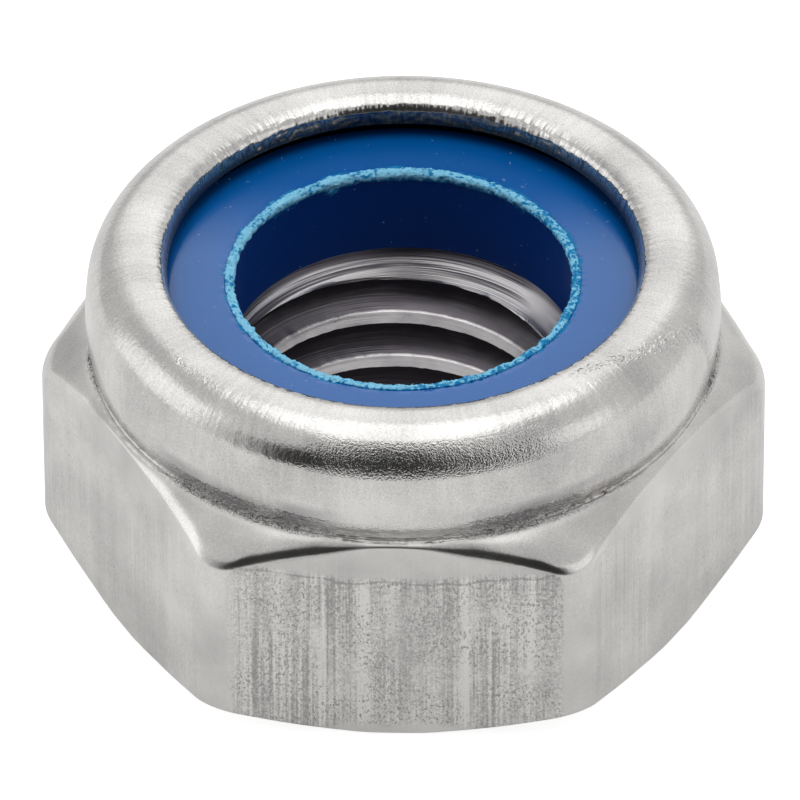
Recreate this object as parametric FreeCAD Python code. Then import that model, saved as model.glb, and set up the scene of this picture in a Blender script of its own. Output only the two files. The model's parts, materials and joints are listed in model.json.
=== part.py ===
import FreeCAD, Part
import math
import os

# Nylon insert lock nut, metric M10, sizes in millimetres.
# The bearing face lies on z = 0 and the thread axis is the Z axis.

# Thread, coarse metric series, right hand, 10 mm across its roots.
PITCH = 1.5
FLANK_DEG = 30.0
# Height of a thread crest on the +Y side, which sets where the helix starts.
CREST_HEIGHT_BACK = 3.93

# Wrench hexagon, up to the neck where the collar begins.
ACROSS_FLATS = 17.0
THREAD_TO_FLAT = 3.5
NECK_HEIGHT = 6.7
CORNER_ROUND = 1.35
BEARING_INSET = 0.15
BEARING_CHAMFER_DEG = 30.0
SHOULDER_DEG = 42.5
SHOULDER_FOLD_ROUND = 0.22

# Collar above the hexagon, crimped inward over the ring.
COLLAR_HEIGHT = 2.9
COLLAR_INSET = 0.14
NECK_PINCH = 0.08
WALL_BULGE = 0.07
CRIMP_ROUND = 1.34
CRIMP_WIDTH = 2.14
LIP_BEVEL = 0.12
LIP_UNDERCUT = 0.30

# Pocket for the ring.
WALL_THICKNESS = 1.15
SEAT_BELOW_NECK = 0.7
RING_BELOW_CROWN = 0.95

# Nylon ring.
RING_DISH = 0.06
RING_GRIP = 0.4
RING_EDGE_WIDTH = 0.17
RING_EDGE_HEIGHT = 0.25

# Countersinks at both ends of the metal thread.
COUNTERSINK_DEG = 45.0
COUNTERSINK_GROW = 0.12

# Two heights closer than this are taken as the same when edges are picked.
SAME_HEIGHT = 0.001

# Radii that follow.
APOTHEM = ACROSS_FLATS / 2
CORNER_REACH = APOTHEM / math.cos(math.pi / 6)
BEARING_RADIUS = APOTHEM - BEARING_INSET
COLLAR_RADIUS = APOTHEM - COLLAR_INSET
NECK_RADIUS = COLLAR_RADIUS - NECK_PINCH
BULGE_RADIUS = COLLAR_RADIUS + WALL_BULGE
CROWN_RADIUS = COLLAR_RADIUS - CRIMP_ROUND
LIP_RADIUS = COLLAR_RADIUS - CRIMP_WIDTH
UNDER_LIP_RADIUS = LIP_RADIUS + LIP_UNDERCUT
POCKET_RADIUS = COLLAR_RADIUS - WALL_THICKNESS
SHARP_HEIGHT = PITCH * math.sqrt(3) / 2
THREAD_DEPTH = 5 / 8 * SHARP_HEIGHT
MAJOR_RADIUS = APOTHEM - THREAD_TO_FLAT
MINOR_RADIUS = MAJOR_RADIUS - THREAD_DEPTH
RING_BORE_RADIUS = MAJOR_RADIUS - RING_GRIP
SINK_RADIUS = MAJOR_RADIUS + COUNTERSINK_GROW

# Heights that follow.
NUT_HEIGHT = NECK_HEIGHT + COLLAR_HEIGHT
CRIMP_START = NUT_HEIGHT - CRIMP_ROUND
SEAT_HEIGHT = NECK_HEIGHT - SEAT_BELOW_NECK
RING_TOP = NUT_HEIGHT - RING_BELOW_CROWN
WALL_ROOT = SEAT_HEIGHT - SEAT_BELOW_NECK


def at(radius, height):
    """Point of a section in the XZ half plane."""
    return FreeCAD.Vector(radius, 0, height)


def line(start, end):
    return Part.makeLine(start, end)


def arc(start, middle, end):
    return Part.Arc(start, middle, end).toShape()


def turned(edges):
    """Solid of revolution of a closed section."""
    face = Part.Face(Part.Wire(edges))
    return face.revolve(FreeCAD.Vector(0, 0, 0), FreeCAD.Vector(0, 0, 1), 360)


def polyline(points):
    edges = []
    for start, end in zip(points, points[1:] + points[:1]):
        edges.append(line(start, end))
    return edges


def hexagon_prism():
    """Six flats with rounded corners, two flats facing -Y and +Y."""
    points = []
    for k in range(7):
        angle = math.radians(60 * k)
        x = CORNER_REACH * math.cos(angle)
        y = CORNER_REACH * math.sin(angle)
        points.append(FreeCAD.Vector(x, y, 0))
    prism = Part.Face(Part.makePolygon(points)).extrude(at(0, NECK_HEIGHT))
    upright = []
    for edge in prism.Edges:
        if edge.BoundBox.ZLength > NECK_HEIGHT / 2:
            upright.append(edge)
    return prism.makeFillet(CORNER_ROUND, upright)


def hexagon_envelope():
    """Turned limits of the hexagon: bearing chamfer below, shoulder cone above."""
    chamfer = (CORNER_REACH - BEARING_RADIUS) * math.tan(math.radians(BEARING_CHAMFER_DEG))
    drop = (CORNER_REACH - NECK_RADIUS) * math.tan(math.radians(SHOULDER_DEG))
    points = [
        at(0, 0),
        at(BEARING_RADIUS, 0),
        at(CORNER_REACH, chamfer),
        at(CORNER_REACH, NECK_HEIGHT - drop),
        at(NECK_RADIUS, NECK_HEIGHT),
        at(0, NECK_HEIGHT),
    ]
    return turned(polyline(points))


def hexagon_part():
    """Wrench part with softened folds where the shoulder meets flats and corners."""
    solid = hexagon_prism().common(hexagon_envelope())
    folds = []
    for edge in solid.Edges:
        box = edge.BoundBox
        upright = edge.Curve.TypeId == "Part::GeomLine"
        low = box.ZMax < NECK_HEIGHT / 2
        neck = box.ZMax > NECK_HEIGHT - SAME_HEIGHT
        if not (upright or low or neck):
            folds.append(edge)
    return solid.makeFillet(SHOULDER_FOLD_ROUND, folds)


def crimp_point(angle_deg):
    """Point on the outside of the crimp, 0 at the wall and 90 at the crown."""
    angle = math.radians(angle_deg)
    radius = CROWN_RADIUS + CRIMP_ROUND * math.cos(angle)
    return at(radius, CRIMP_START + CRIMP_ROUND * math.sin(angle))


def under_lip_points():
    """Ends of the slope inside the crimp, shared by the wall and the ring."""
    width = POCKET_RADIUS - UNDER_LIP_RADIUS
    low = at(POCKET_RADIUS, RING_TOP - width)
    high = at(UNDER_LIP_RADIUS, RING_TOP)
    return low, high


def collar():
    """Thin wall round the pocket, bulged outside and rolled in at the top."""
    inward = CROWN_RADIUS - LIP_RADIUS - LIP_BEVEL
    end_deg = 90 + math.degrees(math.asin(inward / CRIMP_ROUND))
    crown_end = crimp_point(end_deg)
    lip = at(LIP_RADIUS, crown_end.z - LIP_BEVEL)
    low, high = under_lip_points()
    neck = at(NECK_RADIUS, NECK_HEIGHT)
    bulge = at(BULGE_RADIUS, (NECK_HEIGHT + CRIMP_START) / 2)
    edges = [
        line(at(POCKET_RADIUS, WALL_ROOT), at(NECK_RADIUS, WALL_ROOT)),
        line(at(NECK_RADIUS, WALL_ROOT), neck),
        arc(neck, bulge, crimp_point(0)),
        arc(crimp_point(0), crimp_point(45), crimp_point(90)),
        arc(crimp_point(90), crimp_point((90 + end_deg) / 2), crown_end),
        line(crown_end, lip),
        line(lip, high),
        line(high, low),
        line(low, at(POCKET_RADIUS, WALL_ROOT)),
    ]
    return turned(edges)


def half_bore(turn_deg):
    """Half of the plain bore at the thread's crest diameter."""
    axis = FreeCAD.Vector(0, 0, 1)
    length = SEAT_HEIGHT + 2 * PITCH
    half = Part.makeCylinder(MINOR_RADIUS, length, at(0, -PITCH), axis, 180)
    half.rotate(FreeCAD.Vector(0, 0, 0), axis, turn_deg)
    return half


def countersink(height, upward):
    """Cone that opens the thread at one end."""
    sign = 1 if upward else -1
    slope = math.tan(math.radians(COUNTERSINK_DEG))
    wide = SINK_RADIUS + PITCH / slope
    narrow = MINOR_RADIUS - COUNTERSINK_GROW
    depth = (SINK_RADIUS - narrow) * slope
    outside = height + sign * PITCH
    inside = height - sign * depth
    points = [at(0, outside), at(wide, outside), at(narrow, inside), at(0, inside)]
    return turned(polyline(points))


def thread_groove():
    """Groove of the metric profile, swept along a right hand helix."""
    root_half = PITCH / 16
    overlap = PITCH / 10
    mouth_half = root_half + (THREAD_DEPTH + overlap) * math.tan(math.radians(FLANK_DEG))
    mouth_radius = MINOR_RADIUS - overlap
    points = [
        at(mouth_radius, -mouth_half),
        at(MAJOR_RADIUS, -root_half),
        at(MAJOR_RADIUS, root_half),
        at(mouth_radius, mouth_half),
    ]
    section = Part.Wire(polyline(points))
    start_below = 2 * PITCH
    length = SEAT_HEIGHT + start_below + PITCH
    helix = Part.makeLongHelix(PITCH, length, MAJOR_RADIUS)
    groove = Part.Wire(helix.Edges).makePipeShell([section], True, True)
    # A groove runs half a pitch above its crest, and +Y is a quarter turn on.
    phase = (CREST_HEIGHT_BACK + PITCH / 2 - PITCH / 4) % PITCH
    groove.translate(at(0, phase - start_below))
    return groove


def nut_body():
    """One piece of steel: hexagon, collar, ring pocket and thread."""
    body = hexagon_part()
    pocket = Part.makeCylinder(POCKET_RADIUS, NUT_HEIGHT, at(0, SEAT_HEIGHT))
    body = body.cut(pocket)
    body = body.fuse(collar()).removeSplitter()
    body = body.cut(half_bore(90)).cut(half_bore(270))
    body = body.cut(countersink(0, False)).cut(countersink(SEAT_HEIGHT, True))
    body = body.cut(thread_groove())
    return body


def nylon_insert():
    """Ring that fills the pocket and narrows the hole above the thread."""
    low, high = under_lip_points()
    edge_height = RING_TOP - RING_DISH
    points = [
        at(RING_BORE_RADIUS, SEAT_HEIGHT),
        at(POCKET_RADIUS, SEAT_HEIGHT),
        low,
        high,
        at(RING_BORE_RADIUS + RING_EDGE_WIDTH, edge_height),
        at(RING_BORE_RADIUS, edge_height - RING_EDGE_HEIGHT),
    ]
    return turned(polyline(points))


def write(shape, name):
    solids = shape.Solids
    if len(solids) != 1 or not shape.isValid():
        raise ValueError(name + " is not one sound solid")
    solids[0].exportStep(os.path.join("parts", name + ".step"))
    print(name, round(solids[0].Volume, 2), "mm3,", len(solids[0].Faces), "faces")


os.makedirs("parts", exist_ok=True)
write(nut_body(), "nut_body")
write(nylon_insert(), "nylon_insert")
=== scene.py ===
# %% [markdown]
# # A lock nut with a blue nylon ring
# The object is a stainless steel nut about 19 mm across. Its lower two thirds are a hexagon for
# the wrench. Above them is a thin round collar, rolled inward over a ring of blue nylon that
# grips the bolt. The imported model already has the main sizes, so this script keeps those sizes
# and gives each surface the shape and finish that the eye expects up close.

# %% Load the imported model
import json
import math
import bpy
from mathutils import Matrix, Vector


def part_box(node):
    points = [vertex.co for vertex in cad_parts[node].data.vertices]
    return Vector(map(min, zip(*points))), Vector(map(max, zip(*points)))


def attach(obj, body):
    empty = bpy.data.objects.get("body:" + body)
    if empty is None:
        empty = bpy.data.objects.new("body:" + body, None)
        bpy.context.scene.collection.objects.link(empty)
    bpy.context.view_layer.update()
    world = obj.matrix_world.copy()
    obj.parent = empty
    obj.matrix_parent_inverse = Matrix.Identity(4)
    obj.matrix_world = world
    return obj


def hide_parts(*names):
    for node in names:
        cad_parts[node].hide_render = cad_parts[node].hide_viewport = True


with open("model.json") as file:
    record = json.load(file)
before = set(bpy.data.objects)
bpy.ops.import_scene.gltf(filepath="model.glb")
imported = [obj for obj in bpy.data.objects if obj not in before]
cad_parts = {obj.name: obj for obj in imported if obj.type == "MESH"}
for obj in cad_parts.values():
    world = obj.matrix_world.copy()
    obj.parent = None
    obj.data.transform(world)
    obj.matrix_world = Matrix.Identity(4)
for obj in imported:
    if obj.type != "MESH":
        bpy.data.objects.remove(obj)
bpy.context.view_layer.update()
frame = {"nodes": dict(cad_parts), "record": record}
print("nodes:", sorted(frame["nodes"]))

# %% [markdown]
# ## Sizes come from the model
# A nut's sizes depend on each other: the ring fills the pocket, the thread ends where the ring
# begins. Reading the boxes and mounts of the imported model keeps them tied. Only the small forms
# that a box can't tell, such as the collar's bulge, are written here as values in millimetres.

# %% Read the main sizes
MM = 0.001
body_low, body_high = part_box("nut_body")
ring_low, ring_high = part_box("nylon_insert")
mounts = {mount["name"]: mount["dims"] for mount in frame["record"]["mounts"] if mount["dims"]}

half_flats = body_high.y / MM
corner_reach = body_high.x / MM
nut_height = body_high.z / MM
seat_height = ring_low.z / MM
ring_top = ring_high.z / MM
pocket_radius = ring_high.x / MM
crest_radius = mounts["thread"]["r_mm"]
ring_bore_radius = mounts["insert_bore"]["r_mm"]

PITCH = 1.5
SHARP_HEIGHT = PITCH * math.sqrt(3) / 2
thread_depth = 5 / 8 * SHARP_HEIGHT
root_radius = crest_radius + thread_depth
sharp_reach = half_flats / math.cos(math.radians(30))
corner_round = (sharp_reach - corner_reach) / (sharp_reach / half_flats - 1)
print("across flats", round(2 * half_flats, 3), "corner round", round(corner_round, 3))
print("thread crest and root radius", round(crest_radius, 3), round(root_radius, 3))

# %% [markdown]
# ## Formulas as nodes
# Many shapes and finishes on a nut are plain formulas of the radius, the angle and the height.
# A formula can be wired by hand from Math nodes, which soon becomes hard to read. Here a small
# class stands for the output of a node and turns plus, minus and times into Math nodes, so the
# same formula style serves the geometry trees and the materials.


# %% A value that varies over a surface
class Field:
    """Output of a node, usable in a formula."""

    def __init__(self, tree, socket):
        self.tree = tree
        self.socket = socket

    def math(self, operation, *others):
        node = self.tree.nodes.new("ShaderNodeMath")
        node.operation = operation
        for socket, value in zip(node.inputs, (self,) + others):
            feed(self.tree, socket, value)
        return Field(self.tree, node.outputs[0])

    def __add__(self, other):
        return self.math("ADD", other)

    def __sub__(self, other):
        return self.math("SUBTRACT", other)

    def __mul__(self, other):
        return self.math("MULTIPLY", other)

    def __truediv__(self, other):
        return self.math("DIVIDE", other)

    def __neg__(self):
        return self.math("MULTIPLY", -1.0)

    __radd__ = __add__
    __rmul__ = __mul__

    def __rsub__(self, other):
        return (-self) + other


def feed(tree, socket, value):
    """Link a field to a socket, or write a plain value into it."""
    if isinstance(value, Field):
        tree.links.new(value.socket, socket)
    else:
        socket.default_value = value


def add_node(tree, kind, settings=None, **inputs):
    """Add a node, set its options, and feed its inputs by name."""
    node = tree.nodes.new(kind)
    for name, value in (settings or {}).items():
        setattr(node, name, value)
    for name, value in inputs.items():
        feed(tree, node.inputs[name.replace("_", " ")], value)
    return node


def out(node, name=0):
    """Output of a node as a field."""
    return Field(node.id_data, node.outputs[name])


def smooth_step(value, low, high):
    """0 below low, 1 above high, with a soft change between them."""
    settings = {"interpolation_type": "SMOOTHSTEP"}
    node = add_node(value.tree, "ShaderNodeMapRange", settings)
    for name, number in (("Value", value), ("From Min", low), ("From Max", high)):
        feed(value.tree, node.inputs[name], number)
    return out(node, "Result")


def band(value, low, high, soft):
    """1 between low and high, fading out over the soft width at both sides."""
    return smooth_step(value, low - soft, low) * (1 - smooth_step(value, high, high + soft))


def split(vector):
    """The three numbers of a vector field."""
    node = add_node(vector.tree, "ShaderNodeSeparateXYZ", Vector=vector)
    return out(node, "X"), out(node, "Y"), out(node, "Z")


def join(tree, x, y, z):
    """A vector field from three numbers."""
    return out(add_node(tree, "ShaderNodeCombineXYZ", X=x, Y=y, Z=z))


def scaled(vector, factor):
    """A vector field times a number."""
    node = add_node(vector.tree, "ShaderNodeVectorMath", {"operation": "SCALE"}, Scale=factor)
    feed(vector.tree, node.inputs[0], vector)
    return out(node)


def noise(vector, scale, detail=2.0, rough=0.5):
    """Soft cloudy noise, about 0.5 in the middle."""
    node = add_node(vector.tree, "ShaderNodeTexNoise", Vector=vector, Scale=scale,
                    Detail=detail, Roughness=rough)
    return out(node, 0)


print("formula helpers ready")

# %% [markdown]
# ## Turned outlines
# A nut starts on a lathe-like machine, so each of its pieces has an outline that turns round the
# axis. The outline is drawn as a chain of points in the half plane right of the axis. Every point
# can carry marks, such as "this part is cut by the hexagon", which travel with it into Geometry
# Nodes and tell the rules there where to act.


# %% Draw an outline with marks
class Outline:
    """Closed outline of a turned piece, in millimetres, with marks on its points."""

    def __init__(self, radius, height, **marks):
        self.points = [(radius, height)]
        self.marks = dict(marks)
        self.rows = [dict(marks)]

    def mark(self, **marks):
        self.marks.update(marks)

    def add(self, radius, height):
        self.points.append((radius, height))
        self.rows.append(dict(self.marks))

    def to(self, radius, height, steps=1):
        """Straight stretch from the last point."""
        r0, z0 = self.points[-1]
        for k in range(1, steps + 1):
            t = k / steps
            self.add(r0 + (radius - r0) * t, z0 + (height - z0) * t)

    def bow(self, radius, height, rise, steps):
        """Stretch that bows to its right-hand side by the rise at its middle."""
        r0, z0 = self.points[-1]
        dr, dz = radius - r0, height - z0
        length = math.hypot(dr, dz)
        for k in range(1, steps + 1):
            t = k / steps
            swell = 4 * rise * t * (1 - t) / length
            self.add(r0 + dr * t + dz * swell, z0 + dz * t - dr * swell)

    def round(self, centre_radius, centre_height, size, start_deg, end_deg, steps):
        """Arc round a centre, 0 degrees pointing away from the axis and 90 up."""
        for k in range(1, steps + 1):
            angle = math.radians(start_deg + (end_deg - start_deg) * k / steps)
            self.add(centre_radius + size * math.cos(angle), centre_height + size * math.sin(angle))

    def as_object(self, name):
        """Chain of points in the XZ plane, one float attribute for each mark."""
        mesh = bpy.data.meshes.new(name)
        vertices = [(r * MM, 0, z * MM) for r, z in self.points]
        edges = [(k, k + 1) for k in range(len(vertices) - 1)]
        mesh.from_pydata(vertices, edges, [])
        for key in self.marks:
            layer = mesh.attributes.new(key, "FLOAT", "POINT")
            layer.data.foreach_set("value", [row[key] for row in self.rows])
        piece = bpy.data.objects.new(name, mesh)
        bpy.context.scene.collection.objects.link(piece)
        return piece


# %% [markdown]
# ## The nut's outline
# Going round the section: bearing face, bottom chamfer, a blank wider than the hexagon, the sloped
# shoulder, a small torn ridge and groove at the neck, the bulged wall, the rolled crown, the lip
# with its steep face over the ring, the pocket, its seat and the bore. Rows lie closer together
# where the surface bends. SKIN keeps the shape just inside the model's box.

# %% Outline of the steel body
BEARING_INSET = 0.15
CHAMFER_DEG = 30.0
SHOULDER_DEG = 42.5
SHOULDER_BOW = 0.10
LEDGE_RADIUS = 8.40
LEDGE_HEIGHT = 6.47
BLANK_SPARE = 0.35
NECK_HEIGHT = 6.7
NECK_RADIUS = 8.28
BULGE_RADIUS = 8.43
CRIMP_WALL_RADIUS = 8.36
CRIMP_ROUND = 1.34
LIP_RADIUS = 6.22
LIP_ROUND = 0.34
ROLL_END_DEG = 112
LIP_END_DEG = 168
LIP_DROP = 0.65
LIP_TURN_BACK = 0.14
LIP_EDGE = 0.08
LIP_UNDERCUT = 0.30
SKIN = 0.002
SINK_GROW = 0.12
POCKET_PLAY = 0.012


def steel_outline():
    blank = corner_reach + BLANK_SPARE
    bearing = half_flats - BEARING_INSET
    chamfer_top = (blank - bearing) * math.tan(math.radians(CHAMFER_DEG))
    shoulder_low = NECK_HEIGHT - (blank - NECK_RADIUS) * math.tan(math.radians(SHOULDER_DEG))
    crimp_height = nut_height - SKIN - CRIMP_ROUND
    crown_radius = CRIMP_WALL_RADIUS - CRIMP_ROUND
    roll_end = math.radians(ROLL_END_DEG)
    lip_centre = crown_radius + (CRIMP_ROUND - LIP_ROUND) * math.cos(roll_end)
    lip_height = crimp_height + (CRIMP_ROUND - LIP_ROUND) * math.sin(roll_end)
    sink_radius = root_radius + SINK_GROW

    line = Outline(sink_radius, 0, wrench=1.0, softness=0.30, torn=0.0)
    line.to(bearing, 0, 4)
    line.to(blank, chamfer_top, 18)
    line.mark(softness=0.72)
    line.to(blank, shoulder_low, 8)
    line.bow(LEDGE_RADIUS, LEDGE_HEIGHT, SHOULDER_BOW, 36)
    line.mark(wrench=0.0, torn=0.9)
    line.bow(LEDGE_RADIUS - 0.11, LEDGE_HEIGHT + 0.04, 0.02, 4)
    line.bow(NECK_RADIUS - 0.02, LEDGE_HEIGHT + 0.14, -0.02, 4)
    line.mark(torn=0.4)
    line.bow(NECK_RADIUS + 0.03, LEDGE_HEIGHT + 0.32, -0.01, 3)
    line.mark(torn=0.0)
    line.bow(CRIMP_WALL_RADIUS, crimp_height, BULGE_RADIUS - CRIMP_WALL_RADIUS, 10)
    line.round(crown_radius, crimp_height, CRIMP_ROUND, 0, ROLL_END_DEG, 32)
    line.mark(torn=0.20)
    line.round(lip_centre, lip_height, LIP_ROUND, ROLL_END_DEG, LIP_END_DEG, 14)
    line.to(LIP_RADIUS, nut_height - LIP_DROP, 8)
    line.mark(torn=0.10)
    line.to(LIP_RADIUS + LIP_TURN_BACK, nut_height - LIP_DROP - LIP_EDGE, 2)
    line.to(LIP_RADIUS + LIP_UNDERCUT + POCKET_PLAY, ring_top + POCKET_PLAY, 3)
    line.mark(torn=0.0)
    wall_top = ring_top - (pocket_radius - LIP_RADIUS - LIP_UNDERCUT)
    line.to(pocket_radius, wall_top, 1)
    line.to(pocket_radius, seat_height, 1)
    line.to(sink_radius, seat_height, 1)
    line.to(root_radius, seat_height - SINK_GROW, 1)
    line.to(root_radius, SINK_GROW, 1)
    line.to(sink_radius, 0, 1)
    return line


steel_line = steel_outline()
print("steel outline has", len(steel_line.points), "points")

# %% [markdown]
# ## Sweeping an outline round the axis
# Each main piece is an outline swept round the axis: once for the body and the ring, several
# times with a rise for the thread. One Geometry Nodes group does both. It lays out a grid with one
# row for each outline point and one column for each step of the turn, then moves each grid point
# to its place. Screw and Curve to Mesh could sweep too. On the grid, though, each point knows its
# row, so it can look up the marks of its outline point, which the next rules need.


# %% The sweep group
SOCKET_KINDS = {int: "Int", float: "Float", tuple: "Vector", str: "Geometry"}


def named_tree(kind, name, inputs, outputs):
    """Node tree with named sockets, each of the kind of its value, its inputs and its end node."""
    tree = bpy.data.node_groups.new(name, kind)
    for way, sockets in (("INPUT", inputs), ("OUTPUT", outputs)):
        for key, value in sockets.items():
            socket_type = "NodeSocket" + SOCKET_KINDS[type(value)]
            socket = tree.interface.new_socket(name=key, in_out=way, socket_type=socket_type)
            if isinstance(value, (int, float)):
                socket.default_value = value
    start = tree.nodes.new("NodeGroupInput")
    end = tree.nodes.new("NodeGroupOutput")
    return tree, {socket.name: Field(tree, socket) for socket in start.outputs if socket.name}, end


def new_tree(name, inputs):
    """Geometry tree with named number inputs."""
    return named_tree("GeometryNodeTree", name, {"Geometry": "", **inputs}, {"Geometry": ""})


def sampled(tree, source, value, index, data_type):
    """Value of the outline's own points, looked up by row."""
    node = add_node(tree, "GeometryNodeSampleIndex", {"data_type": data_type},
                    Geometry=source, Value=value, Index=index)
    return out(node)


def outline_mark(tree, source, name, index):
    attribute = add_node(tree, "GeometryNodeInputNamedAttribute", {"data_type": "FLOAT"}, Name=name)
    return sampled(tree, source, out(attribute), index, "FLOAT")


def sweep_group():
    inputs = {"Columns": 360, "Turns": 1.0, "Rise per turn": 0.0, "Start angle": 0.0, "Start height": 0.0}
    tree, given, end = new_tree("sweep_round_axis", inputs)
    size = add_node(tree, "GeometryNodeAttributeDomainSize", Geometry=given["Geometry"])
    rows = out(size, "Point Count")
    grid = tree.nodes.new("GeometryNodeMeshGrid")
    feed(tree, grid.inputs["Vertices X"], given["Columns"] + 1)
    feed(tree, grid.inputs["Vertices Y"], rows)
    index = out(tree.nodes.new("GeometryNodeInputIndex"))
    row = index.math("MODULO", rows)
    column = (index / rows).math("FLOOR")
    place = sampled(tree, given["Geometry"], out(tree.nodes.new("GeometryNodeInputPosition")),
                    row, "FLOAT_VECTOR")
    radius, _, height = split(place)
    turn = column / given["Columns"] * given["Turns"]
    angle = turn * math.tau + given["Start angle"]
    lift = turn * given["Rise per turn"] + given["Start height"]
    target = join(tree, radius * angle.math("COSINE"), radius * angle.math("SINE"), height + lift)
    swept = out(grid)
    for mark in ("wrench", "softness", "torn"):
        value = outline_mark(tree, given["Geometry"], mark, row)
        store = add_node(tree, "GeometryNodeStoreNamedAttribute",
                         {"data_type": "FLOAT", "domain": "POINT"}, Geometry=swept, Name=mark)
        feed(tree, store.inputs["Value"], value)
        swept = out(store)
    moved = add_node(tree, "GeometryNodeSetPosition", Geometry=swept, Position=target)
    tree.links.new(moved.outputs[0], end.inputs["Geometry"])
    return tree


sweep = sweep_group()
print("sweep group has", len(sweep.nodes), "nodes")

# %% [markdown]
# ## The rule that cuts the hexagon
# On the machine, a round blank and a hexagon die meet: the shape keeps whichever is nearer to the
# axis. In the same way the rule takes the smaller of the blank's radius and the hexagon's radius
# at that angle. A smooth minimum leaves a small round on the fold, widest between the middle of a
# flat and its corner. A little noise afterwards tears the neck and the lip as the crimping tool
# did, most of all toward the corners, where the die dragged the metal.


# %% Geometry tree of the steel body
def apply_sweep(tree, given, columns, turns=1.0, rise=0.0, start_angle=0.0, start_height=0.0):
    node = tree.nodes.new("GeometryNodeGroup")
    node.node_tree = sweep
    values = (given["Geometry"], columns, turns, rise, start_angle, start_height)
    for socket, value in zip(node.inputs, values):
        feed(tree, socket, value)
    return out(node)


def named_attribute(tree, name):
    return out(add_node(tree, "GeometryNodeInputNamedAttribute", {"data_type": "FLOAT"}, Name=name))


def radius_angle_height(tree):
    """Round coordinates of each point, the radius and height in millimetres."""
    x, y, z = split(out(tree.nodes.new("GeometryNodeInputPosition")))
    radius = (x * x + y * y).math("SQRT") / MM
    return radius, y.math("ARCTAN2", x), z / MM


def place_round(tree, geometry, radius, angle, height):
    """Move each point to a radius and height in millimetres, at an angle round the axis."""
    target = join(tree, radius * MM * angle.math("COSINE"), radius * MM * angle.math("SINE"), height * MM)
    return out(add_node(tree, "GeometryNodeSetPosition", Geometry=geometry, Position=target))


def from_flat_angle(angle):
    """Angle from the middle of the nearest flat, when two flats face -Y and +Y."""
    sixth = math.radians(60)
    return ((angle + math.tau) / sixth).math("FRACT") * sixth - sixth / 2


def hexagon_radius(angle, flats, rounding):
    """Distance from the axis to a hexagon with rounded corners."""
    half = math.radians(30)
    from_flat = from_flat_angle(angle)
    flat = flats / from_flat.math("COSINE")
    from_corner = half - from_flat.math("ABSOLUTE")
    middle = (flats - rounding) / math.cos(half)
    across = middle * from_corner.math("SINE")
    corner = middle * from_corner.math("COSINE") + (rounding * rounding - across * across).math("SQRT")
    past_tangent = (from_flat.math("ABSOLUTE").math("TANGENT") * flats).math(
        "GREATER_THAN", (flats - rounding) * math.tan(half))
    return flat + (corner - flat) * past_tangent


SHARP_ANGLE = math.radians(32)


def finish_tree(tree, geometry, end, material):
    """Close the seams, then end as every tree here does: real, smooth and with its material."""
    merged = add_node(tree, "GeometryNodeMergeByDistance", Geometry=geometry, Distance=0.000001)
    smooth = add_node(tree, "GeometryNodeSetShadeSmooth", Geometry=out(merged))
    bend = out(tree.nodes.new("GeometryNodeInputMeshEdgeAngle"), "Unsigned Angle")
    crisp = add_node(tree, "GeometryNodeSetShadeSmooth", {"domain": "EDGE"}, Geometry=out(smooth),
                     Selection=bend.math("GREATER_THAN", SHARP_ANGLE), Shade_Smooth=False)
    real = add_node(tree, "GeometryNodeRealizeInstances", Geometry=out(crisp))
    painted = add_node(tree, "GeometryNodeSetMaterial", Geometry=out(real))
    painted.inputs["Material"].default_value = material
    tree.links.new(painted.outputs[0], end.inputs["Geometry"])


def tear(tree, geometry, size, amount, seed):
    """Push torn points in and out along their normals by noise."""
    place = out(tree.nodes.new("GeometryNodeInputPosition"))
    normal = out(tree.nodes.new("GeometryNodeInputNormal"))
    shifted = add_node(tree, "ShaderNodeVectorMath", {"operation": "ADD"})
    feed(tree, shifted.inputs[0], scaled(place, size.math("POWER", -1.0) / MM))
    shifted.inputs[1].default_value = (seed, seed * 0.7, seed * 1.3)
    push = (noise(out(shifted), 1.0, 3.0, 0.6) - 0.5) * 2 * amount * named_attribute(tree, "torn") * MM
    return out(add_node(tree, "GeometryNodeSetPosition", Geometry=geometry, Offset=scaled(normal, push)))


def steel_body_tree(material):
    inputs = {"Columns": 640, "Half across flats": 8.5, "Corner round": 1.35,
              "Tear size": 0.18, "Tear depth": 0.05}
    tree, given, end = new_tree("hexagon_meets_blank", inputs)
    blank = apply_sweep(tree, given, given["Columns"])
    radius, angle, height = radius_angle_height(tree)
    hexagon = hexagon_radius(angle, given["Half across flats"], given["Corner round"])
    aside = from_flat_angle(angle).math("ABSOLUTE")
    middle = 1 - smooth_step(aside, math.radians(3), math.radians(14))
    corner = smooth_step(aside, math.radians(23), math.radians(27))
    soft = named_attribute(tree, "softness") * (1 - middle * 0.88 - corner * 0.3)
    nearest = radius.math("SMOOTH_MIN", hexagon, soft)
    cut = radius + (nearest - radius) * named_attribute(tree, "wrench")
    shaped = place_round(tree, blank, cut, angle, height)
    rough_side = smooth_step(aside, math.radians(8), math.radians(20)) * 1.8 + 1
    torn = tear(tree, shaped, given["Tear size"], given["Tear depth"] * rough_side, 4.0)
    finish_tree(tree, torn, end, material)
    return tree


def grow(outline_object, tree, name, **values):
    """Run a tree on an outline and keep the result as a plain mesh."""
    modifier = outline_object.modifiers.new(tree.name, "NODES")
    modifier.node_group = tree
    sockets = {item.name: item.identifier for item in tree.interface.items_tree if item.in_out == "INPUT"}
    for key, value in values.items():
        modifier[sockets[key.replace("_", " ")]] = value
    graph = bpy.context.evaluated_depsgraph_get()
    mesh = bpy.data.meshes.new_from_object(outline_object.evaluated_get(graph))
    outline_object.modifiers.remove(modifier)
    bpy.data.objects.remove(outline_object)
    mesh.name = name
    piece = bpy.data.objects.new(name, mesh)
    bpy.context.scene.collection.objects.link(piece)
    faces = sum(len(polygon.vertices) - 2 for polygon in mesh.polygons)
    print(name, "has", faces, "triangles and holds", round(enclosed(mesh), 1), "cubic mm")
    return piece


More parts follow.
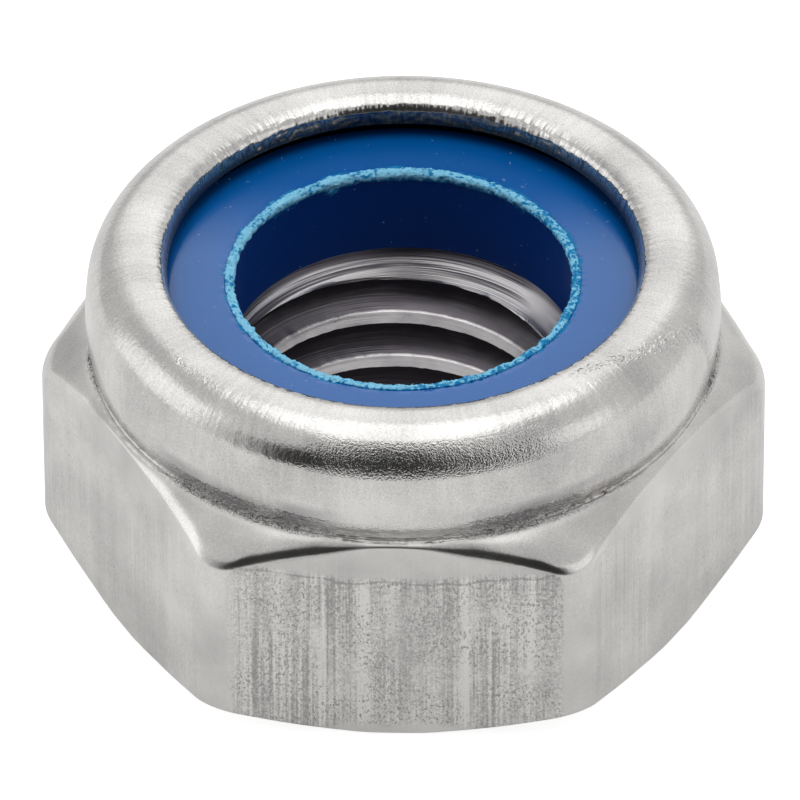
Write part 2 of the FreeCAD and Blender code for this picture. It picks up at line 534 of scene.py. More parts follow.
def enclosed(mesh):
    """Volume inside a mesh in cubic millimetres, above zero where its faces point outward."""
    mesh.calc_loop_triangles()
    total = 0.0
    for triangle in mesh.loop_triangles:
        a, b, c = (mesh.vertices[k].co for k in triangle.vertices)
        total += a.dot(b.cross(c)) / 6
    return total / MM**3


# %% Grow the steel body
steel = bpy.data.materials.new("stainless_steel")
steel_body = grow(steel_line.as_object("steel_outline"), steel_body_tree(steel), "steel_body",
                  Half_across_flats=half_flats - SKIN, Corner_round=corner_round)

# %% [markdown]
# ## The thread
# A nut's thread is one ridge that winds up the bore. Modelling it as stacked rings would look
# close, but no bolt would fit. Here the ridge's section is swept with a rise of one pitch per
# turn. Where it runs into the cone at each end of the bore, its points are pushed back onto the
# cone, which makes the ridge fade out the way a countersink cuts it.

# %% Section of the thread ridge
RIDGE_SINK = 0.04
CREST_HEIGHT_BACK = 3.93


def ridge_outline():
    half_crest = PITCH / 8
    half_foot = half_crest + (thread_depth + RIDGE_SINK) * math.tan(math.radians(30))
    foot = root_radius + RIDGE_SINK
    line = Outline(foot, -half_foot, wrench=0.0, softness=0.0, torn=0.0)
    line.to(crest_radius + 0.1, -half_crest - 0.058, 6)
    line.mark(torn=1.0)
    line.to(crest_radius, -half_crest, 2)
    line.to(crest_radius, half_crest, 4)
    line.to(crest_radius + 0.1, half_crest + 0.058, 2)
    line.mark(torn=0.0)
    line.to(foot, half_foot, 6)
    line.to(foot, -half_foot, 1)
    return line


# %% Geometry tree of the thread
END_PLAY = 0.012


def thread_tree(material):
    inputs = {"Steps per turn": 240, "Pitch": 1.5, "Turns": 4.8, "Start angle": 0.0, "Start height": 0.0,
              "Bottom": 0.0, "Top": 6.0, "Cone radius": 5.12, "Burr size": 0.30, "Burr depth": 0.035}
    tree, given, end = new_tree("thread_fades_into_cones", inputs)
    columns = given["Steps per turn"] * given["Turns"]
    ridge = apply_sweep(tree, given, columns, given["Turns"], given["Pitch"] * MM, given["Start angle"],
                        given["Start height"] * MM)
    ridge = tear(tree, ridge, given["Burr size"], given["Burr depth"], 2.0)
    radius, angle, height = radius_angle_height(tree)
    bottom = given["Bottom"] + 2 * END_PLAY
    top = given["Top"] - 2 * END_PLAY
    level = height.math("MAXIMUM", bottom).math("MINIMUM", top)
    lower_cone = given["Cone radius"] - (level - given["Bottom"])
    upper_cone = given["Cone radius"] - (given["Top"] - level)
    cone = lower_cone.math("MAXIMUM", upper_cone) + END_PLAY
    trimmed = place_round(tree, ridge, radius.math("MAXIMUM", cone), angle, level)
    outward = out(add_node(tree, "GeometryNodeFlipFaces", Mesh=trimmed))
    finish_tree(tree, outward, end, material)
    return tree


thread_steel = bpy.data.materials.new("thread_steel")
lead_in = 0.66
thread_turns = (seat_height + 2 * lead_in) / PITCH
crest_turns = (CREST_HEIGHT_BACK + lead_in) / PITCH
thread_start = math.radians(90) - crest_turns * math.tau
thread = grow(ridge_outline().as_object("ridge_outline"), thread_tree(thread_steel), "steel_thread",
              Turns=thread_turns, Start_angle=thread_start, Start_height=-lead_in,
              Top=seat_height, Cone_radius=root_radius + SINK_GROW)

# %% [markdown]
# ## The nylon ring
# The ring is a short plain tube, whose top the rolled lip has pressed down a little at the outside.
# When the nut was made, the tool that formed the bore tore the ring's inner edge and curled it
# inward, which left a rough pale band. The outline marks that band as torn, so that a coarse and a
# fine noise can make its width and height uneven, and the material can find it too.

# %% Outline of the ring
RING_DISH = 0.02
RING_SINK = 0.09
RIM_REACH = 0.14
RIM_WIDTH = 0.10
RIM_DEPTH = 0.32


def ring_outline():
    under_lip = LIP_RADIUS + LIP_UNDERCUT
    wall_top = ring_top - (pocket_radius - under_lip)
    top = ring_top - RING_DISH
    play = POCKET_PLAY
    bore = ring_bore_radius
    line = Outline(bore, seat_height + play, wrench=0.0, softness=0.0, torn=0.0)
    line.to(pocket_radius - play, seat_height + play, 2)
    line.to(pocket_radius - play, wall_top, 2)
    line.to(under_lip - play, ring_top - RING_SINK, 2)
    line.bow(bore + RIM_WIDTH + 0.12, top, 0.015, 16)
    line.mark(torn=0.35)
    line.to(bore + RIM_WIDTH + 0.02, top - 0.015, 3)
    line.mark(torn=0.8)
    line.to(bore + RIM_WIDTH, top + 0.01, 1)
    line.mark(torn=1.0)
    line.bow(bore - RIM_REACH * 0.7, top, 0.02, 6)
    line.bow(bore - RIM_REACH * 0.9, top - 0.14, 0.03, 6)
    line.mark(torn=0.75)
    line.to(bore - RIM_REACH * 0.4, top - 0.24, 3)
    line.mark(torn=0.5)
    line.bow(bore, top - RIM_DEPTH, -0.01, 3)
    line.mark(torn=0.25)
    line.to(bore, top - RIM_DEPTH - 0.10, 3)
    line.mark(torn=0.0)
    line.to(bore, seat_height + play, 8)
    return line


def ring_tree(material):
    inputs = {"Columns": 900, "Tear size": 0.24, "Tear depth": 0.10, "Fibre size": 0.10, "Fibre depth": 0.05}
    tree, given, end = new_tree("ring_with_torn_edge", inputs)
    blank = apply_sweep(tree, given, given["Columns"])
    torn = tear(tree, blank, given["Tear size"], given["Tear depth"], 9.0)
    torn = tear(tree, torn, given["Fibre size"], given["Fibre depth"], 5.0)
    finish_tree(tree, torn, end, material)
    return tree


nylon = bpy.data.materials.new("blue_nylon")
nylon_ring = grow(ring_outline().as_object("ring_outline"), ring_tree(nylon), "nylon_ring")

# %% [markdown]
# ## Burrs on the ring's edge
# Close up, the torn edge carries small slivers of nylon that stand up or lean into the bore. They
# repeat along a circle, so one bent sliver is instanced on points scattered along it, with fixed
# seeds for its place, turn, lean and size. Each sliver has only fourteen faces.

# %% Slivers along the edge
SLIVER_COUNT = 90
SLIVER_SIZE = 0.10


def sliver_object():
    """Thin bent flake with a closed surface, one unit long."""
    sections = [(0.0, 0.20, 0.0), (0.45, 0.14, 0.10), (0.80, 0.07, 0.32), (1.0, 0.02, 0.55)]
    vertices, faces = [], []
    for height, half, lean in sections:
        vertices += [(-half, lean - half / 2, height), (half, lean - half / 2, height),
                     (half, lean + half / 2, height), (-half, lean + half / 2, height)]
    for k in range(len(sections) - 1):
        low = 4 * k
        for j in range(4):
            faces.append((low + j, low + (j + 1) % 4, low + 4 + (j + 1) % 4, low + 4 + j))
    last = 4 * (len(sections) - 1)
    faces += [(3, 2, 1, 0), (last, last + 1, last + 2, last + 3)]
    mesh = bpy.data.meshes.new("sliver")
    mesh.from_pydata(vertices, [], faces)
    return bpy.data.objects.new("sliver", mesh)


def random_value(tree, low, high, seed):
    node = add_node(tree, "FunctionNodeRandomValue", {"data_type": "FLOAT"})
    for socket in node.inputs:
        if socket.enabled and socket.name in ("Min", "Max", "Seed"):
            socket.default_value = {"Min": low, "Max": high, "Seed": seed}[socket.name]
    return Field(tree, next(socket for socket in node.outputs if socket.enabled))


def sliver_tree(sliver, material):
    inputs = {"Count": 90, "Radius": 4.7, "Height": 8.5, "Size": 0.1, "Spread": 0.05}
    tree, given, end = new_tree("slivers_on_edge", inputs)
    points = add_node(tree, "GeometryNodePoints", Count=given["Count"])
    angle = random_value(tree, 0.0, math.tau, 11)
    radius = given["Radius"] + random_value(tree, -1.0, 1.0, 12) * given["Spread"]
    height = given["Height"] + random_value(tree, -1.0, 1.0, 17) * given["Spread"]
    placed = place_round(tree, out(points), radius, angle, height)
    shape = add_node(tree, "GeometryNodeObjectInfo", {"transform_space": "ORIGINAL"})
    shape.inputs["Object"].default_value = sliver
    turn = join(tree, random_value(tree, -1.1, 1.1, 13), random_value(tree, -1.0, 1.0, 14),
                random_value(tree, 0.0, math.tau, 15))
    scale = random_value(tree, 0.35, 1.0, 16) * given["Size"] * MM
    copies = add_node(tree, "GeometryNodeInstanceOnPoints", Points=placed,
                      Instance=out(shape, "Geometry"), Rotation=turn,
                      Scale=join(tree, scale, scale, scale))
    finish_tree(tree, out(copies), end, material)
    return tree


torn_nylon = bpy.data.materials.new("torn_nylon")
seed_point = Outline(0, 0, wrench=0.0, softness=0.0, torn=0.0)
slivers = grow(seed_point.as_object("sliver_seed"), sliver_tree(sliver_object(), torn_nylon), "nylon_slivers",
               Count=SLIVER_COUNT, Size=SLIVER_SIZE, Radius=ring_bore_radius - RIM_REACH * 0.4,
               Height=ring_top - RING_DISH - 0.03)

# %% [markdown]
# ## Finishes in round coordinates
# Steel keeps the marks of how it was made: straight lines on the drawn flats, rings where it was
# turned, streaks across the crimp. Each of these follows the radius, the angle or the height, so
# the materials first work those out from Object coordinates, in millimetres. The effects that
# more than one material needs are node groups with their own named inputs.


# %% Shared finish groups
def place_parts(tree):
    """Place in millimetres, and its x, y, z, radius and angle round the axis."""
    coordinates = add_node(tree, "ShaderNodeTexCoord")
    mapping = add_node(tree, "ShaderNodeMapping", Vector=out(coordinates, "Object"))
    mapping.inputs["Scale"].default_value = (1 / MM, 1 / MM, 1 / MM)
    place = out(mapping)
    x, y, z = split(place)
    return place, x, y, z, (x * x + y * y).math("SQRT"), y.math("ARCTAN2", x)


def drawn_lines_group():
    """Lines left by drawing or turning: fine across, long along."""
    inputs = {"Across": 0.0, "Along": 0.0, "Beside": 0.0, "Fineness": 11.0, "Stretch": 0.15}
    tree, given, end = named_tree("ShaderNodeTree", "drawn_lines", inputs, {"Height": 0.0, "Shade": 0.0})
    along = given["Along"] * given["Stretch"]
    beside = given["Beside"] * given["Stretch"]
    spot = join(tree, given["Across"] * given["Fineness"], along, beside)
    fine = noise(spot, 1.0, 2.0, 0.65)
    coarse = noise(spot, 0.17, 0.0)
    patch = noise(join(tree, given["Across"] * 0.6, along * 2.7, beside * 2.7), 1.0, 1.0)
    strength = smooth_step(patch, 0.30, 0.62)
    line = (fine - 0.5) * strength
    tree.links.new((line + (coarse - 0.5) * 0.3).socket, end.inputs["Height"])
    tree.links.new((line + (coarse - 0.5) * 0.4).socket, end.inputs["Shade"])
    return tree


def pits_group():
    """Fine dark pits, thicker in some patches than in others, and a few deep ones."""
    inputs = {"Place": (), "Fineness": 10.0, "Patch size": 1.2}
    tree, given, end = named_tree("ShaderNodeTree", "fine_pits", inputs, {"Pit": 0.0, "Deep": 0.0})
    grain = noise(scaled(given["Place"], given["Fineness"]), 1.0, 2.0, 0.6)
    patch = noise(scaled(given["Place"], given["Patch size"].math("POWER", -1.0)), 1.0, 2.0)
    many = smooth_step(patch, 0.40, 0.62)
    pit = (1 - smooth_step(grain, 0.30, 0.46)) * many
    deep = 1 - smooth_step(grain - many * 0.05, 0.20, 0.27)
    tree.links.new(pit.socket, end.inputs["Pit"])
    tree.links.new(deep.socket, end.inputs["Deep"])
    return tree


drawn_lines = drawn_lines_group()
fine_pits = pits_group()
print("finish groups:", drawn_lines.name, fine_pits.name)

# %% [markdown]
# ## Stainless steel
# The steel is a light warm grey, darker in its tool lines. Painted shade darkens it in a band over
# the neck, at the top of the bore under the ring and on the lip's face. What tells its parts apart is
# the surface: drawn lines and pits on the flats, a fine grain and streaks on the crimped collar, turned
# rings near the bore. Masks worked out from the height, the radius and the angle choose where each
# effect shows. Lengths are in millimetres.
# Angles are in degrees, counted from the front to the right, and a side is an angle with its half
# width and soft width. Each effect feeds the colour, the roughness or a bump.


# %% Material helpers
def place_group(tree, group, **inputs):
    node = tree.nodes.new("ShaderNodeGroup")
    node.node_tree = group
    for name, value in inputs.items():
        feed(tree, node.inputs[name], value)
    return node


def start_material(material):
    material.use_nodes = True
    tree = material.node_tree
    return tree, tree.nodes["Principled BSDF"]


def mixed_colour(tree, share, low, high):
    """Colour that goes from low to high with the share."""
    node = add_node(tree, "ShaderNodeMix", {"data_type": "RGBA"})
    feed(tree, node.inputs[0], share)
    for socket, value in ((node.inputs[6], low), (node.inputs[7], high)):
        if isinstance(value, Field):
            feed(tree, socket, value)
        else:
            socket.default_value = (*value, 1.0)
    return Field(tree, node.outputs[2])


def add_bump(tree, shader, height, depth_mm):
    """Bump whose height field of 1 stands for a depth in millimetres."""
    node = add_node(tree, "ShaderNodeBump", Height=height)
    node.inputs["Distance"].default_value = depth_mm * MM
    tree.links.new(node.outputs["Normal"], shader.inputs["Normal"])


# %% Steel of the body
STEEL_LIGHT = (0.83, 0.815, 0.79)
STEEL_DARK = (0.38, 0.37, 0.365)
PIT_COLOUR = (0.17, 0.16, 0.165)
# Colour of the painted shade over the neck.
NECK_SHADE_COLOUR = (0.22, 0.21, 0.23)
# Colour of the painted shade under the ring and on the lip's face.
PAINTED_SHADE_STEEL = (0.05, 0.048, 0.055)
FRONT_SIDE = -3.0
MARK_TOP = 5.25
MARK_BOTTOM = 0.55
MARK_BOW = 0.02
MARK_LEFT = -3.9
MARK_RIGHT = 4.1
RUBBED_SIDE = (8, 17, 12)
SCAR_SIDE = (58, 13, 8)
SCAR_START = 45
SCAR_RADIUS = 6.95
SCAR_DRIFT = 0.045
SCAR_HALF_WIDTH = 0.14
NICK_SIDE = (-46, 5, 3)
NICK_RADIUS = 7.44
NICK_HALF_WIDTH = 0.06
STEEL_BUMP = 0.012


def near(turn, centre, half, soft):
    """1 within a half width of an angle in degrees, fading out over the soft width."""
    return band(turn, centre - half, centre + half, soft)


def paint_steel(material):
    tree, shader = start_material(material)
    place, x, y, z, radius, angle = place_parts(tree)
    turn = x.math("ARCTAN2", -y) * (180 / math.pi)
    turned = (angle - math.radians(90)) / math.radians(60) + 0.5
    side = turned.math("FLOOR")
    from_flat = (turned - side - 0.5) * math.radians(60)
    across = radius * from_flat.math("SINE")
    depth = radius * from_flat.math("COSINE")
    clouds = noise(place, 0.5, 2.0, 0.55)
    smudge = noise(place, 0.22, 1.0)
    sand = noise(place, 9.0, 1.0, 0.6)
    grit = noise(place, 20.0, 1.0, 0.6)

    wrench = 1 - smooth_step(z, NECK_HEIGHT - 0.35, NECK_HEIGHT - 0.25)
    flat = smooth_step(depth, half_flats - 0.05, half_flats - 0.02) * wrench
    shoulder = (1 - flat) * wrench * smooth_step(z, 3.6, 4.2)
    sway = (clouds - 0.5) * 0.8
    top_mark = across * across * (MARK_BOW * 1.1) + sway + MARK_TOP
    bottom_mark = MARK_BOTTOM - across * across * MARK_BOW + sway
    front = side.math("COMPARE", FRONT_SIDE, 0.5)
    lined = band(z, bottom_mark, top_mark, 0.30) * flat * (front * 0.82 + 0.18)
    lined = lined * band(across, MARK_LEFT, MARK_RIGHT, 0.6)
    top_line = band(z, top_mark + 0.02, top_mark + 0.03, 0.05) * flat * front
    collar = smooth_step(z, NECK_HEIGHT + 0.05, NECK_HEIGHT + 0.15)
    crown = smooth_step(z, nut_height - 1.35, nut_height - 1.05) * smooth_step(radius, 6.5, 6.8)
    lip = smooth_step(z, ring_top + 0.1, ring_top + 0.2) * (1 - smooth_step(radius, 6.45, 6.75))
    crimp = band(z, nut_height - 1.0, nut_height - 0.30, 0.10) * smooth_step(radius, 7.0, 7.2)
    rubbed = crimp * near(turn, *RUBBED_SIDE)
    chain = (turn - SCAR_START).math("MAXIMUM", 0.0) * SCAR_DRIFT + SCAR_RADIUS
    scarred = band(radius - chain, -SCAR_HALF_WIDTH, SCAR_HALF_WIDTH, 0.08) * near(turn, *SCAR_SIDE)
    scarred = scarred * smooth_step(sand, 0.40, 0.50) * collar
    nicked = band(radius, NICK_RADIUS - NICK_HALF_WIDTH, NICK_RADIUS + NICK_HALF_WIDTH, 0.05)
    nicked = nicked * near(turn, *NICK_SIDE) * smooth_step(sand, 0.42, 0.50) * collar
    aside = from_flat.math("ABSOLUTE")
    corner_side = smooth_step(aside, math.radians(8), math.radians(22))
    wall_only = smooth_step(radius, 8.0, 8.1)
    neck = band(z, NECK_HEIGHT - 0.20, NECK_HEIGHT + 0.30, 0.08) * wall_only
    neck = neck * (corner_side * 0.85 + 0.15) * smooth_step(clouds, 0.30, 0.55)
    # Painted shade: a dark band on the collar wall just over the neck, strongest toward the corners.
    neck_shade = band(z, NECK_HEIGHT + 0.05, NECK_HEIGHT + 0.50, 0.35) * wall_only
    neck_shade = neck_shade * smooth_step(aside, math.radians(6), math.radians(18))
    bore = 1 - smooth_step(radius, root_radius + 0.15, root_radius + 0.25)
    under = 1 - smooth_step(z, 0.01, 0.03)
    # Painted shade: near black at the top of the bore under the ring and on the lip's face over it.
    painted_shade = bore * smooth_step(z, seat_height - 0.26, seat_height - 0.14)
    lip_face = smooth_step(z, ring_top + 0.02, ring_top + 0.08) * (1 - smooth_step(radius, 6.42, 6.52))
    lip_face = lip_face * (1 - smooth_step(z, nut_height - 0.62, nut_height - 0.22))
    painted_shade = painted_shade.math("MAXIMUM", lip_face * 0.92)

    turned_zone = bore.math("MAXIMUM", under)
    drawn_zone = 1 - turned_zone
    lines = place_group(tree, drawn_lines, Across=across * drawn_zone + (z + radius) * turned_zone,
                        Along=z * drawn_zone + x * turned_zone,
                        Beside=side * drawn_zone * 40 + y * turned_zone)
    streaks = noise(join(tree, x / radius * 44, y / radius * 44, z * 1.2 + radius * 0.4), 1.0, 1.0, 0.6)
    flecks = noise(join(tree, across * 15, z * 8, side * 9), 1.0, 2.0, 0.6)
    fleck = (1 - smooth_step(flecks, 0.34, 0.46)) * smooth_step(noise(place, 0.8, 1.0), 0.36, 0.60)
    pits = place_group(tree, fine_pits, Place=place)

    tint = (clouds - 0.5) + (smudge - 0.5) * 0.6 + 0.68
    tint = tint + (sand - 0.5) * (lined * 0.8 + neck * 0.8 + 0.15)
    tint = tint + (grit - 0.5) * (collar * 0.6 + lined * 1.2 + neck * 4.0 + shoulder * 0.3 + 0.18)
    tint = tint + out(lines, "Shade") * (lined * 2.4 + flat * 0.15) - fleck * lined * 1.1
    tint = tint - out(pits, "Pit") * (lined * 0.5 + collar * 0.08) - top_line * (1 - clouds) * 0.7
    tint = tint + out(lines, "Shade") * bore * 9.0 + bore * 0.3 - (streaks - 0.5) * (lip * 0.8 + collar * 0.3)
    tone = mixed_colour(tree, tint.math("MINIMUM", 1.0).math("MAXIMUM", 0.0), STEEL_DARK, STEEL_LIGHT)
    crumbs = (scarred + nicked + neck) * smooth_step(grit, 0.58, 0.68)
    deep = (out(pits, "Deep") * (lined * 0.8 + 0.1) + crumbs * 0.7).math("MINIMUM", 1.0)
    tone = mixed_colour(tree, deep, tone, PIT_COLOUR)
    tone = mixed_colour(tree, neck_shade * 0.55 * smooth_step(clouds, 0.35, 0.60), tone, NECK_SHADE_COLOUR)
    feed(tree, shader.inputs["Base Color"], mixed_colour(tree, painted_shade, tone, PAINTED_SHADE_STEEL))
    shader.inputs["Metallic"].default_value = 1.0
    rough = 0.34 - collar * 0.14 - shoulder * 0.16 + lined * 0.06 + bore * 0.04
    rough = rough + (clouds + smudge - 1.0) * 0.15
    feed(tree, shader.inputs["Roughness"], rough.math("MAXIMUM", 0.10))

    height = (sand - 0.5) * (crown * 0.35 + neck * 5.0 + (scarred + nicked) * 7.0 + 0.14)
    height = height + (grit - 0.5) * (rubbed * 1.3 + crown * 0.12 + neck * 7.0)
    height = height + out(lines, "Height") * lined * 0.3
    height = height + (streaks - 0.5) * (lip * 2.0 + crown * 0.5 + collar * 0.15)
    height = height + out(lines, "Height") * (bore * 5.0 + under * 0.6)
    add_bump(tree, shader, height, STEEL_BUMP)


paint_steel(steel)

# %% Steel of the thread
THREAD_CREST = (0.93, 0.90, 0.90)
THREAD_FLANK = (0.19, 0.175, 0.195)
THREAD_BUMP = 0.02
# Keeps the count of turns above zero, with each crest at one half.
LEAD_SHIFT = 20.5


def paint_thread(material):
    tree, shader = start_material(material)
    place, x, y, z, radius, angle = place_parts(tree)
    lead = (z - CREST_HEIGHT_BACK) / PITCH - (angle - math.radians(90)) / math.tau
    profile = ((lead + LEAD_SHIFT).math("FRACT") - 0.5) * PITCH
    slope = radius - z - (root_radius + SINK_GROW - seat_height)
    cone = 1 - smooth_step(slope.math("ABSOLUTE"), 0.03, 0.07)
    # Painted shade: the top of the countersink under the ring is darkened nearly to black.
    painted_shade_top = smooth_step(z, seat_height - 0.47, seat_height - 0.34)
    across = (profile + radius * 0.7) * (1 - cone) + cone * z * 1.4
    tool = place_group(tree, drawn_lines, Across=across, Along=x, Beside=y, Fineness=9.0)
    clouds = noise(place, 0.9, 2.0, 0.6)
    crest = 1 - smooth_step(radius, crest_radius + 0.01, crest_radius + 0.09)
    tint = crest * (clouds + 0.5) + (clouds - 0.5) * 0.3 + cone * 0.38
    tint = (tint + out(tool, "Shade") * (cone * 4.5 + 1.8)) * (1 - painted_shade_top)
    tint = tint.math("MINIMUM", 1.0).math("MAXIMUM", 0.0)
    feed(tree, shader.inputs["Base Color"], mixed_colour(tree, tint, THREAD_FLANK, THREAD_CREST))
    shader.inputs["Metallic"].default_value = 1.0
    feed(tree, shader.inputs["Roughness"], clouds * 0.2 + 0.26 - crest * 0.05)
    burr = (noise(place, 12.0, 2.0) - 0.5) * crest * 0.5
    add_bump(tree, shader, out(tool, "Height") * (cone + 1) + burr, THREAD_BUMP)


paint_thread(thread_steel)
print("steel painted")

# %% [markdown]
# ## Nylon
# The ring is dyed right through, so its own colour is even. The gloss of its moulded top sits in the
# coat, and the bore is dull. Shade is painted into the colour: a deeper blue on the bore, darker
# blue toward the lip and a little toward the back. Toward the back the gloss fades too, as in the
# photo, where the lip is what the ring mirrors. The torn edge shows pale fibres, cyan where they are
# thin. The torn mark from the outline carries that band into the material, and noise breaks its
# border.

# %% Nylon of the ring and slivers
NYLON_BLUE = (0.001, 0.140, 0.51)
NYLON_DEEP = (0.001, 0.120, 0.44)
PAINTED_SHADE_BLUE = (0.0005, 0.02, 0.10)
BORE_SHADE_BLUE = (0.001, 0.045, 0.26)
TORN_PALE = (0.28, 0.70, 0.96)
TORN_CYAN = (0.012, 0.25, 0.56)
DUST_COLOUR = (0.55, 0.65, 0.80)
NYLON_IOR = 1.15
SKIN_IOR = 1.60
SKIN_ROUGHNESS = 0.15
NYLON_BUMP = 0.02


def paint_nylon(material, torn_share):
    tree, shader = start_material(material)
    place, x, y, z, radius, _ = place_parts(tree)
    clouds = noise(place, 0.8, 2.0)
    dust = place_group(tree, fine_pits, Place=place, Fineness=6.0)
    skin = mixed_colour(tree, clouds, NYLON_DEEP, NYLON_BLUE)
    # Painted shade: the bore wall is a deeper blue than the top.
    wall = 1 - smooth_step(radius, ring_bore_radius + 0.02, ring_bore_radius + 0.08)
    skin = mixed_colour(tree, wall, skin, BORE_SHADE_BLUE)
    # Painted shade: the blue darkens toward the lip, and a little toward the back.
    lip_shade = smooth_step(radius, LIP_RADIUS - 0.37, LIP_RADIUS + 0.23) * 0.65
    skin = mixed_colour(tree, lip_shade + smooth_step(y, 1.0, 6.0) * 0.25, skin, PAINTED_SHADE_BLUE)
    moulded = smooth_step(z, ring_top - 0.20, ring_top - 0.13)
    skin = mixed_colour(tree, out(dust, "Deep") * 0.3, skin, DUST_COLOUR)
    around = join(tree, x / radius * 34, y / radius * 34, z * 8 + radius * 8)
    fibres = noise(around, 1.0, 3.0, 0.6)
    if torn_share is None:
        mark = out(add_node(tree, "ShaderNodeAttribute", {"attribute_name": "torn"}), "Fac")
        ragged = noise(join(tree, x / radius * 6, y / radius * 6, z * 0.5), 1.0, 2.0)
        share = smooth_step(mark + (ragged - 0.5) * 0.9 + (fibres - 0.5) * 0.4, 0.32, 0.50)
        # The torn rim is less pale toward the right.
        right_fade = smooth_step(x, 1.5, 4.5) * 0.25
        pale = smooth_step(mark + (fibres - 0.5) * 2.4 + (ragged - 0.5) * 1.2 - right_fade, 0.62, 1.00)
    else:
        share = torn_share
        pale = smooth_step(fibres, 0.30, 0.50)
    torn_colour = mixed_colour(tree, pale, TORN_CYAN, TORN_PALE)
    feed(tree, shader.inputs["Base Color"], mixed_colour(tree, share, skin, torn_colour))
    shader.inputs["IOR"].default_value = NYLON_IOR
    feed(tree, shader.inputs["Roughness"], 0.30 + share * 0.30 + (clouds - 0.5) * 0.06)
    feed(tree, shader.inputs["Coat Weight"], moulded * (1 - share) * (1 - smooth_step(y, 0.6, 4.2)))
    shader.inputs["Coat IOR"].default_value = SKIN_IOR
    shader.inputs["Coat Roughness"].default_value = SKIN_ROUGHNESS
    add_bump(tree, shader, fibres * (share * 1.5 + 0.03), NYLON_BUMP)


paint_nylon(nylon, None)
paint_nylon(torn_nylon, 1.0)
print("nylon painted")

# %% [markdown]
# ## Studio
# The nut stands on a pale floor in a light tent. Polished metal shows whatever surrounds it, so
# the tent matters as much as the steel: a broad light overhead, pale sides, and a dark gap in front
# where the camera looks in, which draws the dark bands on the collar and on the shoulder folds. The
# floor ends a little in front of the nut, so that the collar also sees the gap below the horizon.
# It glows toward the camera to stay white. The light boxes are bands in degrees: low, high, soft.

# %% Floor
FLOOR_SIZE = 0.6
FLOOR_FRONT = 0.058
CLOTH_COLOUR = (0.66, 0.66, 0.66, 1)
CAMERA_GLOW = 0.80
MIRROR_GLOW = 0.29


def make_floor():
    mesh = bpy.data.meshes.new("studio_floor")
    far = FLOOR_SIZE / 2
    corners = [(-far, -FLOOR_FRONT, 0), (far, -FLOOR_FRONT, 0), (far, far, 0), (-far, far, 0)]
    mesh.from_pydata(corners, [], [(0, 1, 2, 3)])
    floor = bpy.data.objects.new("studio_floor", mesh)
    bpy.context.scene.collection.objects.link(floor)
    paint = bpy.data.materials.new("studio_floor")
    paint.use_nodes = True
    tree = paint.node_tree
    tree.nodes.clear()
    path = add_node(tree, "ShaderNodeLightPath")
    mirrored = out(path, "Is Glossy Ray").math("MAXIMUM", out(path, "Is Transmission Ray"))
    seen = out(path, "Is Camera Ray") * CAMERA_GLOW + mirrored * MIRROR_GLOW
    cloth = add_node(tree, "ShaderNodeBsdfDiffuse")
    cloth.inputs["Color"].default_value = CLOTH_COLOUR
    glow = add_node(tree, "ShaderNodeEmission", Strength=seen)
    total = tree.nodes.new("ShaderNodeAddShader")
    tree.links.new(cloth.outputs[0], total.inputs[0])
    tree.links.new(glow.outputs[0], total.inputs[1])
    end = tree.nodes.new("ShaderNodeOutputMaterial")
    tree.links.new(total.outputs[0], end.inputs["Surface"])
    mesh.materials.append(paint)


make_floor()

# %% Light tent
TENT_LEVEL = 0.80
OVERHEAD_GAIN = 1.15
LEFT_GAIN = 0.80
RIGHT_GAIN = 0.50
BACK_GAIN = 0.60
BACK_TILT = 9.0
SIDE_SLOPE = 0.16
LEFT_BOX_TURN = (-108, -78, 12)
LEFT_BOX_RISE = (4, 30, 14)
RIGHT_BOX_TURN = (50, 70, 12)
RIGHT_BOX_RISE = (8, 26, 12)
BACK_BOX_RISE = (20, 50, 12)
GAP_CORE = 0.36
GAP_CORE_TURN = (-38, 34, 8)
GAP_SKIRT = 0.58
GAP_SKIRT_TURN = (-46, 36, 16)


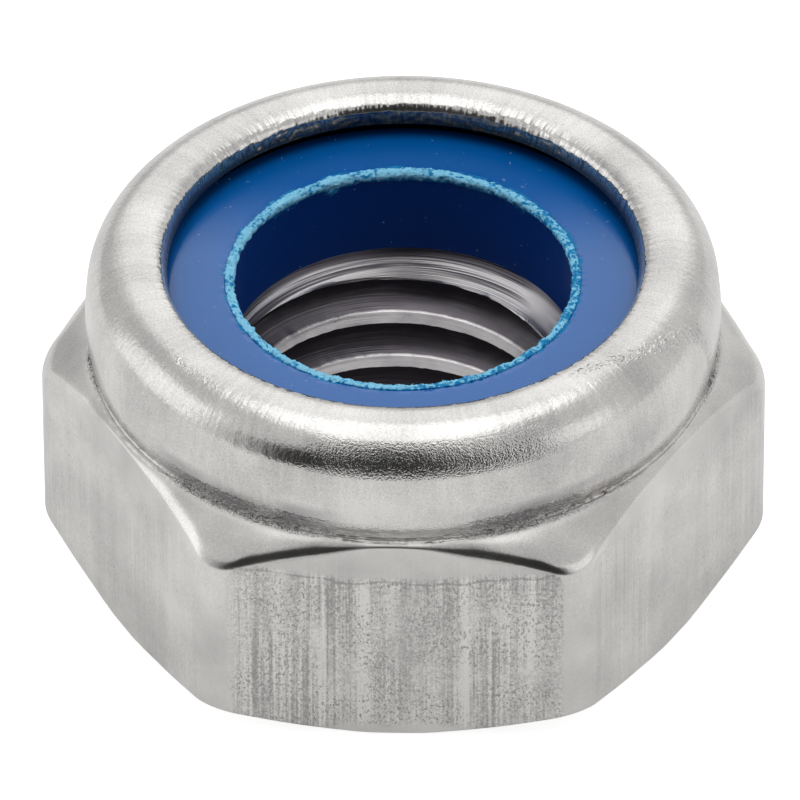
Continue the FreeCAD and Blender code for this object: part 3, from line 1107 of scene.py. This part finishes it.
def make_tent():
    """World whose brightness depends on the direction, one pale tone where the camera sees it."""
    world = bpy.data.worlds.new("light_tent")
    world.use_nodes = True
    tree = world.node_tree
    tree.nodes.clear()
    x, y, z = split(out(add_node(tree, "ShaderNodeTexCoord"), "Generated"))
    degrees = 180 / math.pi
    rise = z.math("ARCSINE") * degrees
    turn = x.math("ARCTAN2", -y) * degrees
    from_back = 180 - turn.math("ABSOLUTE")

    behind = 1 - smooth_step(from_back, 40, 100)
    overhead = smooth_step(rise + behind * BACK_TILT, 62, 76)
    left_box = band(turn, *LEFT_BOX_TURN) * band(rise, *LEFT_BOX_RISE)
    right_box = band(turn, *RIGHT_BOX_TURN) * band(rise, *RIGHT_BOX_RISE)
    back_box = (1 - smooth_step(from_back, 20, 45)) * band(rise, *BACK_BOX_RISE)
    below_top = 1 - smooth_step(rise, 60, 70)
    narrowed = turn * (smooth_step(rise, 22, 46) * 1.2 + 1)
    core = band(narrowed, *GAP_CORE_TURN) * below_top
    skirt = band(narrowed, *GAP_SKIRT_TURN) * below_top
    level = (overhead * OVERHEAD_GAIN + left_box * LEFT_GAIN + right_box * RIGHT_GAIN
             + back_box * BACK_GAIN + TENT_LEVEL)
    level = level * (1 - core * GAP_CORE - skirt * GAP_SKIRT) * (x * behind * SIDE_SLOPE + 1)
    path = add_node(tree, "ShaderNodeLightPath")
    seen = out(path, "Is Camera Ray")
    light = add_node(tree, "ShaderNodeBackground", Strength=level + (1 - level) * seen)
    end = tree.nodes.new("ShaderNodeOutputWorld")
    tree.links.new(light.outputs[0], end.inputs["Surface"])
    bpy.context.scene.world = world


make_tent()

# %% [markdown]
# ## Camera
# A long lens looks down at the nut from the front. Its angles, distance and lens were found by
# fitting the nut's known circles and corners to the photograph.

# %% Camera
CAMERA_RISE_DEG = 38.991
CAMERA_SIDE_DEG = 1.753
CAMERA_ROLL_DEG = -0.242
CAMERA_DISTANCE = 0.367465
CAMERA_LENS = 622.0
CAMERA_AIM = Vector((0, 0, 0.0041))
CAMERA_SLIDE = (0.000093, -0.000297)


def make_camera():
    rise, side, roll = (math.radians(a) for a in (CAMERA_RISE_DEG, CAMERA_SIDE_DEG, CAMERA_ROLL_DEG))
    back = Vector((math.sin(side) * math.cos(rise), -math.cos(side) * math.cos(rise), math.sin(rise)))
    right = Vector((math.cos(side), math.sin(side), 0))
    up = back.cross(right)
    right, up = (right * math.cos(roll) + up * math.sin(roll), up * math.cos(roll) - right * math.sin(roll))
    place = CAMERA_AIM + back * CAMERA_DISTANCE - right * CAMERA_SLIDE[0] - up * CAMERA_SLIDE[1]
    data = bpy.data.cameras.new("camera")
    data.lens = CAMERA_LENS
    data.clip_start = CAMERA_DISTANCE / 10
    data.clip_end = CAMERA_DISTANCE * 10
    camera = bpy.data.objects.new("camera", data)
    axes = Matrix((right, up, back)).transposed().to_4x4()
    camera.matrix_world = Matrix.Translation(place) @ axes
    bpy.context.scene.collection.objects.link(camera)
    bpy.context.scene.camera = camera


make_camera()
bpy.context.scene.view_settings.view_transform = "Standard"

# %% Fasten the pieces to the model
for piece in (steel_body, thread):
    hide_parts("nut_body")
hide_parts("nylon_insert")
for piece in (steel_body, thread, nylon_ring, slivers):
    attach(piece, "root")
